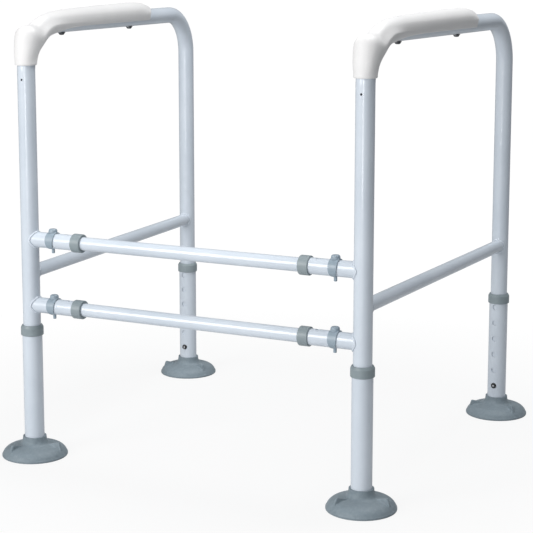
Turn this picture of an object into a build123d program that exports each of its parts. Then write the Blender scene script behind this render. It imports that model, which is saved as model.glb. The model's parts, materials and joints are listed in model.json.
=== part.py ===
"""Toilet safety frame: two bent side frames on height-adjustable legs, joined at the front by two telescoping crossbars.

Frame: millimetres, +Z up, origin on the floor at the centre of the four feet, +X to the right seen from the front, -Y towards the front.
"""

from build123d import *
from math import cos, sin, radians, sqrt
import os

os.makedirs("parts", exist_ok=True)

# ---------------------------------------------------------------- driving dimensions
FRONT_HALF_SPACING = 258.5   # side frame front leg axis to the centre plane
TOE_OUT_DEG = 2.5            # each side frame opens outward towards the rear
LEG_PITCH = 502.0            # front leg axis to rear leg axis, along the side frame
RAIL_HEIGHT = 623.0          # axis of the top rail, legs fully shortened
BEND_RADIUS = 63.5           # centre line, both bends

TUBE_R = 12.7                # side tube, 25.4 mm
TUBE_WALL = 1.2
BRACE_R = 9.525              # side brace, 19.05 mm
BRACE_HEIGHT = 272.0
STUB_R = 11.1                # crossbar stubs, 22.2 mm
STUB_HEIGHTS = {"upper": 320.5, "lower": 225.0}
BAR_R = 9.525                # crossbars, 19.05 mm
BAR_HALF_LENGTH = 228.0
PIN_OFFSET = 39.4            # leg axis to the locking pin
HOLE_PITCH = 25.4            # between locking holes, everywhere
STUB_END = 86.7              # leg axis to the open end of the stub

LEG_R = 14.3                 # lower leg, 28.6 mm
LEG_WALL = 1.2
LEG_TOP = 188.0
LEG_BOTTOM = 9.0
LEG_HOLES = 6
BUTTON_HEIGHT = 47.6         # lowest hole, where the snap button sits
LEG_HOLE_R = 4.35
BUTTON_R = 4.0

FOOT_R = 47.6
FOOT_TOP = 29.0
FIN_ANGLES = {"front_left": 8.0, "front_right": -5.0, "rear_left": -22.0, "rear_right": -32.0}

ARM_SCREWS = (98.0, 303.0)   # along the rail, from the front leg axis

SIDES = {"left": -1, "right": 1}
TOE = radians(TOE_OUT_DEG)
HALF_DEPTH = LEG_PITCH * cos(TOE) / 2
UP = (0, 0, 1)


# ---------------------------------------------------------------- reference geometry
def along(side):
    """Unit vector along a side frame, from the front leg to the rear leg."""
    return Vector(side * sin(TOE), cos(TOE), 0)


def leg_axis(side, end):
    """Point on the floor under a leg: end is "front" or "rear"."""
    front = Vector(side * FRONT_HALF_SPACING, -HALF_DEPTH, 0)
    return front if end == "front" else front + along(side) * LEG_PITCH


def side_plane(side):
    """Vertical plane of a side frame: local x runs rearward from the front leg axis, local y is height."""
    u = along(side)
    return Plane(origin=leg_axis(side, "front"), x_dir=u, z_dir=u.cross(Vector(*UP)))


def level(point, height, direction=Vector(1, 0, 0)):
    """Horizontal plane over a floor point."""
    return Plane(origin=point + Vector(0, 0, height), x_dir=direction, z_dir=UP)


def facing(point, height, direction):
    """Plane square to a horizontal direction, at a height over a floor point."""
    return Plane(origin=point + Vector(0, 0, height), x_dir=Vector(*UP).cross(direction), z_dir=direction)


def radial(point, direction):
    """Vertical plane through a leg axis: local x is the distance from the axis, local y is height."""
    return Plane(origin=point, x_dir=direction, z_dir=direction.cross(Vector(*UP)))


def save(builder, name):
    builder.part.label = name
    export_step(builder.part, f"parts/{name}.step")


def rail_path(side, start):
    """Centre line of the bent side tube, from the foot of the front leg to the foot of the rear leg."""
    r, top = BEND_RADIUS, RAIL_HEIGHT
    k = r * (1 - sqrt(0.5))
    with BuildLine(side_plane(side)) as path:
        Line((0, start), (0, top - r))
        ThreePointArc((0, top - r), (k, top - k), (r, top))
        Line((r, top), (LEG_PITCH - r, top))
        ThreePointArc((LEG_PITCH - r, top), (LEG_PITCH - k, top - k), (LEG_PITCH, top - r))
        Line((LEG_PITCH, top - r), (LEG_PITCH, start))
    return path


# ---------------------------------------------------------------- side frames
def make_side_tube(side):
    """One tube: front leg, top rail and rear leg, drilled for the snap buttons, the armrest screws and a drain hole."""
    path = rail_path(side, 32.0)
    with BuildPart() as side_tube:
        with BuildSketch(level(leg_axis(side, "front"), 32.0)):
            Circle(TUBE_R)
            Circle(TUBE_R - TUBE_WALL, mode=Mode.SUBTRACT)
        sweep(path=path.line)
        # snap button holes, on the faces that look at each other
        with BuildSketch(facing(leg_axis(side, "front"), BUTTON_HEIGHT, along(side))):
            Circle(BUTTON_R + 0.3)
        extrude(amount=TUBE_R + 5, mode=Mode.SUBTRACT)
        with BuildSketch(facing(leg_axis(side, "rear"), BUTTON_HEIGHT, -along(side))):
            Circle(BUTTON_R + 0.3)
        extrude(amount=TUBE_R + 5, mode=Mode.SUBTRACT)
        # armrest screw holes, through the rail from below
        for reach in ARM_SCREWS:
            with BuildSketch(level(leg_axis(side, "front") + along(side) * reach, RAIL_HEIGHT - 20)):
                Circle(2.4)
            extrude(amount=40, mode=Mode.SUBTRACT)
        # small drain hole on the front face of the front leg
        with BuildSketch(facing(leg_axis(side, "front"), 549.0, -along(side))):
            Circle(1.5)
        extrude(amount=TUBE_R + 5, mode=Mode.SUBTRACT)
    return side_tube


def make_side_brace(side):
    """Straight tube between the legs, its ends cut to sit on them."""
    with BuildPart() as side_brace:
        with BuildSketch(facing(leg_axis(side, "front"), BRACE_HEIGHT, along(side))):
            Circle(BRACE_R)
            Circle(BRACE_R - TUBE_WALL, mode=Mode.SUBTRACT)
        extrude(amount=LEG_PITCH)
        for end in ("front", "rear"):
            with BuildSketch(level(leg_axis(side, end), BRACE_HEIGHT - 30)):
                Circle(TUBE_R)
            extrude(amount=60, mode=Mode.SUBTRACT)
    return side_brace


def make_stub(side, height):
    """Short tube welded to the front leg, pointing at the other side frame, with two locking holes."""
    inward = Vector(-side, 0, 0)
    root = leg_axis(side, "front")
    with BuildPart() as stub:
        with BuildSketch(facing(root, height, inward)):
            Circle(STUB_R)
            Circle(STUB_R - TUBE_WALL, mode=Mode.SUBTRACT)
        extrude(amount=STUB_END)
        with BuildSketch(level(root, height - 30)):
            Circle(TUBE_R)
        extrude(amount=60, mode=Mode.SUBTRACT)
        for reach in (PIN_OFFSET, PIN_OFFSET + HOLE_PITCH):
            with BuildSketch(level(root + inward * reach, height - 20)):
                Circle(2.6)
            extrude(amount=40, mode=Mode.SUBTRACT)
    return stub


def make_weld_bead(side, end, height, direction, tube_r, size):
    """Bead of weld metal round a tube where it meets a leg, following the seam."""
    root = leg_axis(side, end)
    with BuildPart() as bead:
        with BuildSketch(facing(root, height, direction)):
            Circle(tube_r + size)
        extrude(amount=30)
        with BuildSketch(level(root, height - 30)):
            Circle(TUBE_R + size)
        extrude(amount=60, mode=Mode.INTERSECT)
        with BuildSketch(level(root, height - 31)):
            Circle(TUBE_R)
        extrude(amount=62, mode=Mode.SUBTRACT)
        with BuildSketch(facing(root, height, direction)):
            Circle(tube_r)
        extrude(amount=31, mode=Mode.SUBTRACT)
    return bead.part


def make_stub_collar(side, height):
    """Plastic bush on the open end of a stub, with a lip that guides the crossbar."""
    inward = Vector(-side, 0, 0)
    axis = Axis(leg_axis(side, "front") + Vector(0, 0, height), inward)
    start, stop = STUB_END - 12.0, STUB_END + 3.0
    with BuildPart() as stub_collar:
        with BuildSketch(Plane(origin=axis.position, x_dir=inward, z_dir=inward.cross(Vector(*UP)))):
            with BuildLine():
                Polyline((STUB_END - 6.0, STUB_R), (start, STUB_R), (start, STUB_R + 1.5), (start + 0.8, STUB_R + 2.2),
                         (stop - 1.4, STUB_R + 2.2), (stop, STUB_R + 1.0), (stop, BAR_R + 0.35), (STUB_END, BAR_R + 0.35),
                         (STUB_END, STUB_R), close=True)
            make_face()
        revolve(axis=axis)
    return stub_collar


# ---------------------------------------------------------------- armrests
def make_armrest(side):
    """Moulded cover over the front bend and two thirds of the rail: turned down at the front, open below the rail."""
    plane = side_plane(side)
    root = leg_axis(side, "front")
    with BuildPart() as armrest:
        with BuildSketch(plane):
            with BuildLine():
                Spline((-16.4, 569.0), (-15.8, 583.0), (-14.0, 597.0), (-11.4, 608.5), (-7.0, 617.5), (-0.5, 623.2), (8.0, 625.4),
                       (18.0, 626.6), (28.0, 630.2), (42.0, 635.6), (60.0, 640.0), (85.0, 642.6), (138.0, 644.6), (210.0, 646.4),
                       (285.0, 647.6), (318.0, 647.0), (340.0, 643.6), (356.0, 638.0), (367.0, 630.5), (371.0, 622.0))
                Line((371.0, 622.0), (371.0, 619.5))
                Line((371.0, 619.5), (130.0, 619.0))
                Spline((130.0, 619.0), (95.0, 616.0), (70.0, 611.5), (45.0, 603.0), (26.0, 591.0), (17.5, 579.0), (15.4, 569.0))
                Line((15.4, 569.0), (-16.4, 569.0))
            make_face()
        extrude(amount=19.0, both=True)
        with BuildSketch(facing(root + along(side) * -40, 0, along(side))):
            with BuildLine():
                Spline((-15.6, 560.0), (-16.4, 592.0), (-16.9, 612.0), (-17.8, 625.5), (-18.4, 633.0), (-16.6, 640.0), (-10.5, 645.8), (0.0, 648.2),
                       (10.5, 645.8), (16.6, 640.0), (18.4, 633.0), (17.8, 625.5), (16.9, 612.0), (16.4, 592.0), (15.6, 560.0))
                Line((15.6, 560.0), (-15.6, 560.0))
            make_face()
        extrude(amount=460.0, mode=Mode.INTERSECT)
        # plan outline: the rear end is rounded over the tube
        with BuildSketch(Plane(origin=root + Vector(0, 0, 540.0), x_dir=along(side), z_dir=UP)):
            with BuildLine():
                Line((-40.0, -30.0), (346.0, -30.0))
                Line((346.0, -30.0), (347.5, -19.0))
                Spline((347.5, -19.0), (352.0, -14.0), (363.0, -7.5), (370.5, 0.0), (363.0, 7.5), (352.0, 14.0), (347.5, 19.0))
                Line((347.5, 19.0), (346.0, 30.0))
                Line((346.0, 30.0), (-40.0, 30.0))
                Line((-40.0, 30.0), (-40.0, -30.0))
            make_face()
        extrude(amount=140.0, mode=Mode.INTERSECT)
        with BuildSketch(level(root, 540.0)):
            Circle(TUBE_R + 0.1)
        sweep(path=rail_path(side, 540.0).line, mode=Mode.SUBTRACT)
        for reach in ARM_SCREWS:
            with BuildSketch(level(root + along(side) * reach, RAIL_HEIGHT)):
                Circle(2.1)
            extrude(amount=21.0, mode=Mode.SUBTRACT)
    return armrest


def make_armrest_screws(side):
    """Two pan head screws that come up through the rail into the armrest."""
    bottom = RAIL_HEIGHT - TUBE_R
    with BuildPart() as screws:
        for reach in ARM_SCREWS:
            point = leg_axis(side, "front") + along(side) * reach
            with BuildSketch(radial(point, along(side))):
                with BuildLine():
                    Polyline((0, bottom - 4.0), (2.6, bottom - 3.7), (4.0, bottom - 2.6), (4.3, bottom - 1.0), (5.4, bottom - 1.0), (5.4, bottom),
                             (2.0, bottom), (2.0, RAIL_HEIGHT + 18.0), (1.2, RAIL_HEIGHT + 20.0), (0, RAIL_HEIGHT + 20.0), close=True)
                make_face()
            revolve(axis=Axis(point, Vector(*UP)))
            with BuildSketch(level(point, bottom - 4.2)):
                Rectangle(5.0, 0.9)
                Rectangle(0.9, 5.0)
            extrude(amount=1.4, mode=Mode.SUBTRACT)
    return screws


# ---------------------------------------------------------------- crossbars
def make_crossbar(height):
    """Straight inner tube with a locking hole near each end."""
    with BuildPart() as crossbar:
        with BuildSketch(Plane(origin=(-BAR_HALF_LENGTH, -HALF_DEPTH, height), x_dir=(0, 1, 0), z_dir=(1, 0, 0))):
            Circle(BAR_R)
            Circle(BAR_R - TUBE_WALL, mode=Mode.SUBTRACT)
        extrude(amount=2 * BAR_HALF_LENGTH)
        for side in (-1, 1):
            with BuildSketch(level(Vector(side * (FRONT_HALF_SPACING - PIN_OFFSET), -HALF_DEPTH, 0), height - 20)):
                Circle(2.6)
            extrude(amount=40, mode=Mode.SUBTRACT)
    return crossbar


def make_clip(side, height):
    """Snap clip: a springy C ring round the stub, a boss on top, and a pin through both tubes."""
    centre = leg_axis(side, "front") + Vector(-side * PIN_OFFSET, 0, height)
    ring_in, ring_out = STUB_R + 0.35, STUB_R + 1.75
    with BuildPart() as clip:
        with BuildSketch(Plane(origin=centre - Vector(6.6, 0, 0), x_dir=(0, 1, 0), z_dir=(1, 0, 0))):
            Circle(ring_out)
            Circle(ring_in, mode=Mode.SUBTRACT)
            with BuildLine():
                Polyline((0, 0), (-13.0, -22.0), (13.0, -22.0), close=True)
            make_face(mode=Mode.SUBTRACT)
        extrude(amount=13.2)
        with BuildSketch(Plane(origin=centre, x_dir=(1, 0, 0), z_dir=(0, -1, 0))):
            with BuildLine():
                Polyline((0, ring_in + 0.4), (6.4, ring_in + 0.4), (6.4, ring_out + 1.2), (6.0, 16.2), (4.6, 17.5), (0, 17.8), close=True)
            make_face()
        revolve(axis=Axis(centre, Vector(*UP)))
        with BuildSketch(Plane(origin=centre + Vector(0, 0, -17.6), x_dir=(1, 0, 0), z_dir=UP)):
            Circle(2.3)
        extrude(amount=17.6 + ring_in + 0.6)
        with BuildSketch(Plane(origin=centre + Vector(0, 0, -17.6), x_dir=(1, 0, 0), z_dir=UP)):
            Circle(1.1)
        extrude(amount=4.0, mode=Mode.SUBTRACT)
    return clip


# ---------------------------------------------------------------- legs and feet
def leg_facing(side, end):
    """Direction that the row of height holes looks: front and rear legs look at each other."""
    return along(side) if end == "front" else -along(side)


def make_lower_leg(side, end):
    """Outer leg tube with a row of height holes on one face."""
    point = leg_axis(side, end)
    with BuildPart() as lower_leg:
        with BuildSketch(level(point, LEG_BOTTOM)):
            Circle(LEG_R)
            Circle(LEG_R - LEG_WALL, mode=Mode.SUBTRACT)
        extrude(amount=LEG_TOP - LEG_BOTTOM)
        for n in range(LEG_HOLES):
            with BuildSketch(facing(point, BUTTON_HEIGHT + n * HOLE_PITCH, leg_facing(side, end))):
                Circle(LEG_HOLE_R)
            extrude(amount=LEG_R + 3, mode=Mode.SUBTRACT)
    return lower_leg


def make_leg_collar(side, end):
    """Plastic bush on the top of a lower leg, with a lip that guides the side tube."""
    point = leg_axis(side, end)
    with BuildPart() as leg_collar:
        with BuildSketch(radial(point, along(side))):
            with BuildLine():
                Polyline((LEG_R, 180.0), (LEG_R + 1.4, 180.0), (LEG_R + 2.0, 180.7), (LEG_R + 2.0, 190.5), (LEG_R + 1.2, 193.6), (LEG_R - 0.2, 195.0),
                         (TUBE_R + 0.4, 195.0), (TUBE_R + 0.4, LEG_TOP), (LEG_R, LEG_TOP), close=True)
            make_face()
        revolve(axis=Axis(point, Vector(*UP)))
    return leg_collar


def make_snap_button(side, end):
    """Round steel button with a domed end and a small centre dimple."""
    point = leg_axis(side, end)
    out = leg_facing(side, end)
    with BuildPart() as snap_button:
        with BuildSketch(Plane(origin=point + Vector(0, 0, BUTTON_HEIGHT), x_dir=out, z_dir=out.cross(Vector(*UP)))):
            with BuildLine():
                Polyline((10.05, 0), (10.05, BUTTON_R), (14.8, BUTTON_R))
                ThreePointArc((14.8, BUTTON_R), (16.0, 2.9), (16.5, 1.2))
                Polyline((16.5, 1.2), (16.0, 0.8), (16.0, 0), (10.05, 0))
            make_face()
        revolve(axis=Axis(point + Vector(0, 0, BUTTON_HEIGHT), out))
    return snap_button


def make_v_spring(side, end):
    """Bent leaf spring inside the side tube: one arm holds the button, the other rests on the far wall."""
    point = leg_axis(side, end)
    with BuildPart() as v_spring:
        with BuildSketch(radial(point, leg_facing(side, end))):
            with BuildLine():
                Polyline((10.05, 40.0), (10.05, 62.0), (1.2, 92.0), (0.4, 93.0), (-0.8, 93.0), (-1.6, 92.0), (-10.3, 64.0), (-10.3, 44.0),
                         (-9.5, 44.0), (-9.5, 63.8), (-0.9, 91.2), (0.4, 91.2), (9.25, 61.7), (9.25, 40.0), close=True)
            make_face()
        extrude(amount=4.4, both=True)
    return v_spring


def make_foot(side, end, turn):
    """Rubber foot: wide flared dish, socket for the leg, and three upright fins between socket and dish."""
    point = leg_axis(side, end)
    with BuildPart() as rubber_foot:
        with BuildSketch(Plane(origin=point, x_dir=(1, 0, 0), z_dir=(0, -1, 0))):
            with BuildLine():
                Line((0, 3.2), (37.0, 3.2))
                Line((37.0, 3.2), (40.5, 0))
                Line((40.5, 0), (FOOT_R - 0.8, 0))
                Line((FOOT_R - 0.8, 0), (FOOT_R, 0.8))
                Line((FOOT_R, 0.8), (FOOT_R, 2.8))
                Line((FOOT_R, 2.8), (FOOT_R - 0.9, 3.9))
                Spline((FOOT_R - 0.9, 3.9), (45.6, 6.4), (43.8, 8.9), (41.0, 11.4), (37.0, 13.5), (31.0, 15.3), (25.0, 16.6), (20.6, 18.2), (18.2, 21.8), (17.0, FOOT_TOP - 0.8))
                Line((17.0, FOOT_TOP - 0.8), (16.2, FOOT_TOP))
                Line((16.2, FOOT_TOP), (LEG_R, FOOT_TOP))
                Line((LEG_R, FOOT_TOP), (LEG_R, 7.0))
                Line((LEG_R, 7.0), (0, 7.0))
                Line((0, 7.0), (0, 3.2))
            make_face()
        revolve(axis=Axis(point, Vector(*UP)))
        for n in range(3):
            angle = radians(turn + 120 * n)
            with BuildSketch(radial(point, Vector(cos(angle), sin(angle), 0))):
                with BuildLine():
                    Polyline((15.5, 6.0), (15.5, 17.6), (24.0, 17.9), (38.4, 22.8), (40.6, 22.0), (43.9, 7.2), (42.5, 4.4), (18.0, 4.4), close=True)
                make_face()
            extrude(amount=2.1, both=True)
    return rubber_foot


def make_foot_washer(side, end):
    """Steel washer in the bottom of the socket, under the leg tube."""
    with BuildPart() as foot_washer:
        with BuildSketch(level(leg_axis(side, end), 7.0)):
            Circle(14.1)
            Circle(3.5, mode=Mode.SUBTRACT)
        extrude(amount=2.0)
    return foot_washer


# ---------------------------------------------------------------- build and write every piece
for side_name, side in SIDES.items():
    side_tube = make_side_tube(side)
    save(side_tube, f"side_tube_{side_name}")

    side_brace = make_side_brace(side)
    save(side_brace, f"side_brace_{side_name}")

    inward = Vector(-side, 0, 0)
    brace_beads = [make_weld_bead(side, "front", BRACE_HEIGHT, along(side), BRACE_R, 2.0),
                   make_weld_bead(side, "rear", BRACE_HEIGHT, -along(side), BRACE_R, 2.0)]
    with BuildPart() as brace_welds:
        add(brace_beads)
    save(brace_welds, f"brace_welds_{side_name}")

    stub_beads = [make_weld_bead(side, "front", h, inward, STUB_R, 1.4) for h in STUB_HEIGHTS.values()]
    with BuildPart() as stub_welds:
        add(stub_beads)
    save(stub_welds, f"stub_welds_{side_name}")

    for row, height in STUB_HEIGHTS.items():
        stub = make_stub(side, height)
        save(stub, f"crossbar_stub_{row}_{side_name}")
        stub_collar = make_stub_collar(side, height)
        save(stub_collar, f"stub_collar_{row}_{side_name}")
        clip = make_clip(side, height)
        save(clip, f"snap_clip_{row}_{side_name}")

    armrest = make_armrest(side)
    save(armrest, f"armrest_{side_name}")
    armrest_screws = make_armrest_screws(side)
    save(armrest_screws, f"armrest_screws_{side_name}")

    for end in ("front", "rear"):
        corner = f"{end}_{side_name}"
        lower_leg = make_lower_leg(side, end)
        save(lower_leg, f"lower_leg_{corner}")
        leg_collar = make_leg_collar(side, end)
        save(leg_collar, f"leg_collar_{corner}")
        snap_button = make_snap_button(side, end)
        save(snap_button, f"snap_button_{corner}")
        v_spring = make_v_spring(side, end)
        save(v_spring, f"button_spring_{corner}")
        rubber_foot = make_foot(side, end, FIN_ANGLES[corner])
        save(rubber_foot, f"rubber_foot_{corner}")
        foot_washer = make_foot_washer(side, end)
        save(foot_washer, f"foot_washer_{corner}")

for row, height in STUB_HEIGHTS.items():
    crossbar = make_crossbar(height)
    save(crossbar, f"crossbar_{row}")

# plastic end plugs that close the crossbars inside the stubs
with BuildPart() as crossbar_plugs:
    for height in STUB_HEIGHTS.values():
        for side in (-1, 1):
            end = Axis((side * BAR_HALF_LENGTH, -HALF_DEPTH, height), (side, 0, 0))
            with BuildSketch(Plane(origin=end.position, x_dir=(side, 0, 0), z_dir=(0, -side, 0))):
                with BuildLine():
                    Polyline((-5.5, 0), (-5.5, 8.25), (0, 8.25), (0, 9.2), (0.8, 9.2), (1.2, 8.8), (1.2, 0), close=True)
                make_face()
            revolve(axis=end)
save(crossbar_plugs, "crossbar_plugs")
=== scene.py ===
"""Toilet safety frame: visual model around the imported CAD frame. Metres, +Z up, -Y front."""
import json
from math import radians, degrees, sin, cos, tan, pi, sqrt, atan2, asin, acos

import bpy
import bmesh
import numpy as np
from mathutils import Vector, Matrix, Quaternion

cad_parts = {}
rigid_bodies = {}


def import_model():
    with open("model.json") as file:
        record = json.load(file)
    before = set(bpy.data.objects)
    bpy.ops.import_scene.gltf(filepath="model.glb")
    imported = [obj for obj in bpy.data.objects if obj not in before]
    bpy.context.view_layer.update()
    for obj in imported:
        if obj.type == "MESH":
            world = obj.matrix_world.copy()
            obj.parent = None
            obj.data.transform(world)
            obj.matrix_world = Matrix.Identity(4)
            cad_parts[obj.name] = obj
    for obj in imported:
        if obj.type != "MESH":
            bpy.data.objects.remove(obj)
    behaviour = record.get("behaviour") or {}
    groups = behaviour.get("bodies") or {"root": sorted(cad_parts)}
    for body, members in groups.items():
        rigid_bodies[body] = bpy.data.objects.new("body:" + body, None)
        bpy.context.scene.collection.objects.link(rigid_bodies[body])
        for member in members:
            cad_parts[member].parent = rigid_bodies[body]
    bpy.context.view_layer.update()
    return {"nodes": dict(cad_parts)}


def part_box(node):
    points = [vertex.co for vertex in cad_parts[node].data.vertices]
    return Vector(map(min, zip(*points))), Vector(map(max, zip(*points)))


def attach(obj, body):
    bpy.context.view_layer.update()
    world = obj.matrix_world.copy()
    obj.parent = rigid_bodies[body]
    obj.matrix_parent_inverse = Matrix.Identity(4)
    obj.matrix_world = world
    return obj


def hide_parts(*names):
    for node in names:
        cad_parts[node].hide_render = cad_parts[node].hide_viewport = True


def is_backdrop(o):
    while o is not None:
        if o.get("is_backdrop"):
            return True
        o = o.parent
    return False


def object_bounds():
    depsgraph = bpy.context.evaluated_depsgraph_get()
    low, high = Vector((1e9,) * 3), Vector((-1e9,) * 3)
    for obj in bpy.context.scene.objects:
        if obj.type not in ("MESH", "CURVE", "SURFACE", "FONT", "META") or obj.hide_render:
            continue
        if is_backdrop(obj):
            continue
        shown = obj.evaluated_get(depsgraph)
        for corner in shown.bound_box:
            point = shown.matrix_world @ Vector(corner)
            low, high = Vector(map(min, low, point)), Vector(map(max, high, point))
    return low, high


for leftover in list(bpy.data.objects):
    bpy.data.objects.remove(leftover)

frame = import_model()
CAD = frame["nodes"]
MM = 0.001
SIDES = {"left": -1, "right": 1}
ENDS = ("front", "rear")
ROWS = ("upper", "lower")


# ------------------------------------------------------------------ places read from the frame
def middle(node):
    lo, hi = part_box(node)
    return (lo + hi) / 2


def top_of(node):
    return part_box(node)[1].z / MM


def bottom_of(node):
    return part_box(node)[0].z / MM


LEG_AXIS = {f"{e}_{s}": middle(f"rubber_foot_{e}_{s}").to_2d().to_3d() for e in ENDS for s in SIDES}
ALONG = {s: (LEG_AXIS[f"rear_{s}"] - LEG_AXIS[f"front_{s}"]).normalized() for s in SIDES}
OUT = {s: Vector((k * ALONG[s].y, -k * ALONG[s].x, 0)) for s, k in SIDES.items()}
PITCH = (LEG_AXIS["rear_left"] - LEG_AXIS["front_left"]).length / MM
TUBE_R = 12.7
WALL = 1.2
RAIL = top_of("side_tube_left") - TUBE_R
BEND = 63.5
BAR_R = 9.525
STUB_R = 11.1
LEG_R = 14.3
STUB_Z = {r: middle(f"crossbar_stub_{r}_left").z / MM for r in ROWS}
BRACE_Z = middle("side_brace_left").z / MM
BUTTON_Z = middle("snap_button_front_left").z / MM
HOLE_PITCH = 25.4
PIN = (abs(LEG_AXIS["front_right"].x) - abs(middle("snap_clip_upper_right").x)) / MM
STUB_END = abs(LEG_AXIS["front_right"].x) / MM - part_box("crossbar_stub_upper_right")[0].x / MM


def in_side(side, a):
    """Points given as (along the side frame, outward, up) in millimetres from the floor under the front leg."""
    a = np.asarray(a, float) * MM
    o = LEG_AXIS[f"front_{side}"]
    u, w = np.array(ALONG[side]), np.array(OUT[side])
    return np.array(o) + a[..., 0:1] * u + a[..., 1:2] * w + a[..., 2:3] * np.array([0, 0, 1.0])


def in_axes(origin, ax, ay, az, a):
    """Points given in millimetres in a local set of axes."""
    a = np.asarray(a, float) * MM
    return np.array(origin) + a[..., 0:1] * np.array(ax) + a[..., 1:2] * np.array(ay) + a[..., 2:3] * np.array(az)


# ------------------------------------------------------------------ mesh helpers
def finish_mesh(name, verts, faces, body, replaces=(), sharp=38, weld=2e-7, mats=(), face_mats=None, weighted=True):
    me = bpy.data.meshes.new(name)
    me.from_pydata([tuple(v) for v in verts], [], [tuple(int(i) for i in f) for f in faces])
    for m in mats:
        me.materials.append(m)
    if face_mats is not None:
        me.polygons.foreach_set("material_index", np.asarray(face_mats, np.int32))
    bm = bmesh.new()
    bm.from_mesh(me)
    bmesh.ops.remove_doubles(bm, verts=bm.verts, dist=weld)
    bmesh.ops.dissolve_degenerate(bm, edges=bm.edges, dist=weld)
    loose = [v for v in bm.verts if not v.link_faces]
    bmesh.ops.delete(bm, geom=loose, context="VERTS")
    bmesh.ops.recalc_face_normals(bm, faces=bm.faces)
    bm.to_mesh(me)
    bm.free()
    me.polygons.foreach_set("use_smooth", np.ones(len(me.polygons), bool))
    me.set_sharp_from_angle(angle=radians(sharp))
    o = bpy.data.objects.new(name, me)
    bpy.context.scene.collection.objects.link(o)
    if weighted:
        wn = o.modifiers.new("normals", "WEIGHTED_NORMAL")
        wn.keep_sharp = True
        wn.weight = 60
    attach(o, body)
    if replaces:
        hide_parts(*replaces)
    return o


class Build:
    """Collects grids and rings of points into one mesh."""

    def __init__(self):
        self.v, self.f, self.m, self.n = [], [], [], 0

    def add(self, p):
        p = np.asarray(p, float).reshape(-1, 3)
        self.v.append(p)
        i = np.arange(self.n, self.n + len(p))
        self.n += len(p)
        return i

    def grid(self, p, wrap=False, mat=0, skip=None):
        rows, cols = p.shape[:2]
        idx = self.add(p).reshape(rows, cols)
        for i in range(rows - 1):
            for j in range(cols if wrap else cols - 1):
                if skip is not None and skip(i, j):
                    continue
                k = (j + 1) % cols
                self.f.append((idx[i, j], idx[i, k], idx[i + 1, k], idx[i + 1, j]))
                self.m.append(mat)
        return idx

    def face(self, ids, mat=0):
        self.f.append(tuple(ids))
        self.m.append(mat)

    def out(self):
        return np.concatenate(self.v), self.f, self.m


def rounded(points, radii, steps=5):
    """A closed or open profile with its corners rounded: points are 2-D, radii one per point, 0 keeps the corner."""
    pts = [np.array(p, float) for p in points]
    n = len(pts)
    res = []
    for i, p in enumerate(pts):
        r = radii[i]
        if r <= 0:
            res.append(p)
            continue
        a, b = pts[(i - 1) % n] - p, pts[(i + 1) % n] - p
        la, lb = np.linalg.norm(a), np.linalg.norm(b)
        a, b = a / la, b / lb
        ang = acos(max(-1, min(1, float(a @ b))))
        if ang > pi - 0.02:
            res.append(p)
            continue
        t = min(r / tan(ang / 2), 0.48 * la, 0.48 * lb)
        r = t * tan(ang / 2)
        c = p + (a + b) / np.linalg.norm(a + b) * (r / sin(ang / 2))
        s, e = p + a * t, p + b * t
        v0, v1 = s - c, e - c
        a0, a1 = atan2(v0[1], v0[0]), atan2(v1[1], v1[0])
        d = (a1 - a0 + pi) % (2 * pi) - pi
        for k in range(steps + 1):
            th = a0 + d * k / steps
            res.append(c + r * np.array([cos(th), sin(th)]))
    return np.array(res)


def lathe(build, origin, axis, ref, profile, n=72, closed=True, mat=0, mats=None):
    """Turns a profile of (radius, distance along the axis) in millimetres round an axis."""
    axis = Vector(axis).normalized()
    ref = (Vector(ref) - axis * Vector(ref).dot(axis)).normalized()
    third = axis.cross(ref)
    prof = np.asarray(profile, float)
    if closed:
        prof = np.vstack([prof, prof[:1]])
    th = np.linspace(0, 2 * pi, n, endpoint=False)
    p = np.zeros((len(prof), n, 3))
    p[..., 0] = prof[:, 0:1] * np.cos(th)
    p[..., 1] = prof[:, 0:1] * np.sin(th)
    p[..., 2] = prof[:, 1:2]
    w = in_axes(origin, ref, third, axis, p)
    if mats is None:
        build.grid(w, wrap=True, mat=mat)
    else:
        for i in range(len(prof) - 1):
            build.grid(w[i:i + 2], wrap=True, mat=mats[min(i, len(mats) - 1)])
    return w


def straight(origin, axis, ref):
    """Frame function of a straight tube: distance in millimetres to centre, normal, binormal."""
    axis = Vector(axis).normalized()
    ref = (Vector(ref) - axis * Vector(ref).dot(axis)).normalized()
    third = axis.cross(ref)
    o = np.array(origin)

    def at(t):
        return o + np.array(axis) * t * MM, np.array(ref), np.array(third), np.array(axis)
    return at


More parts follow.
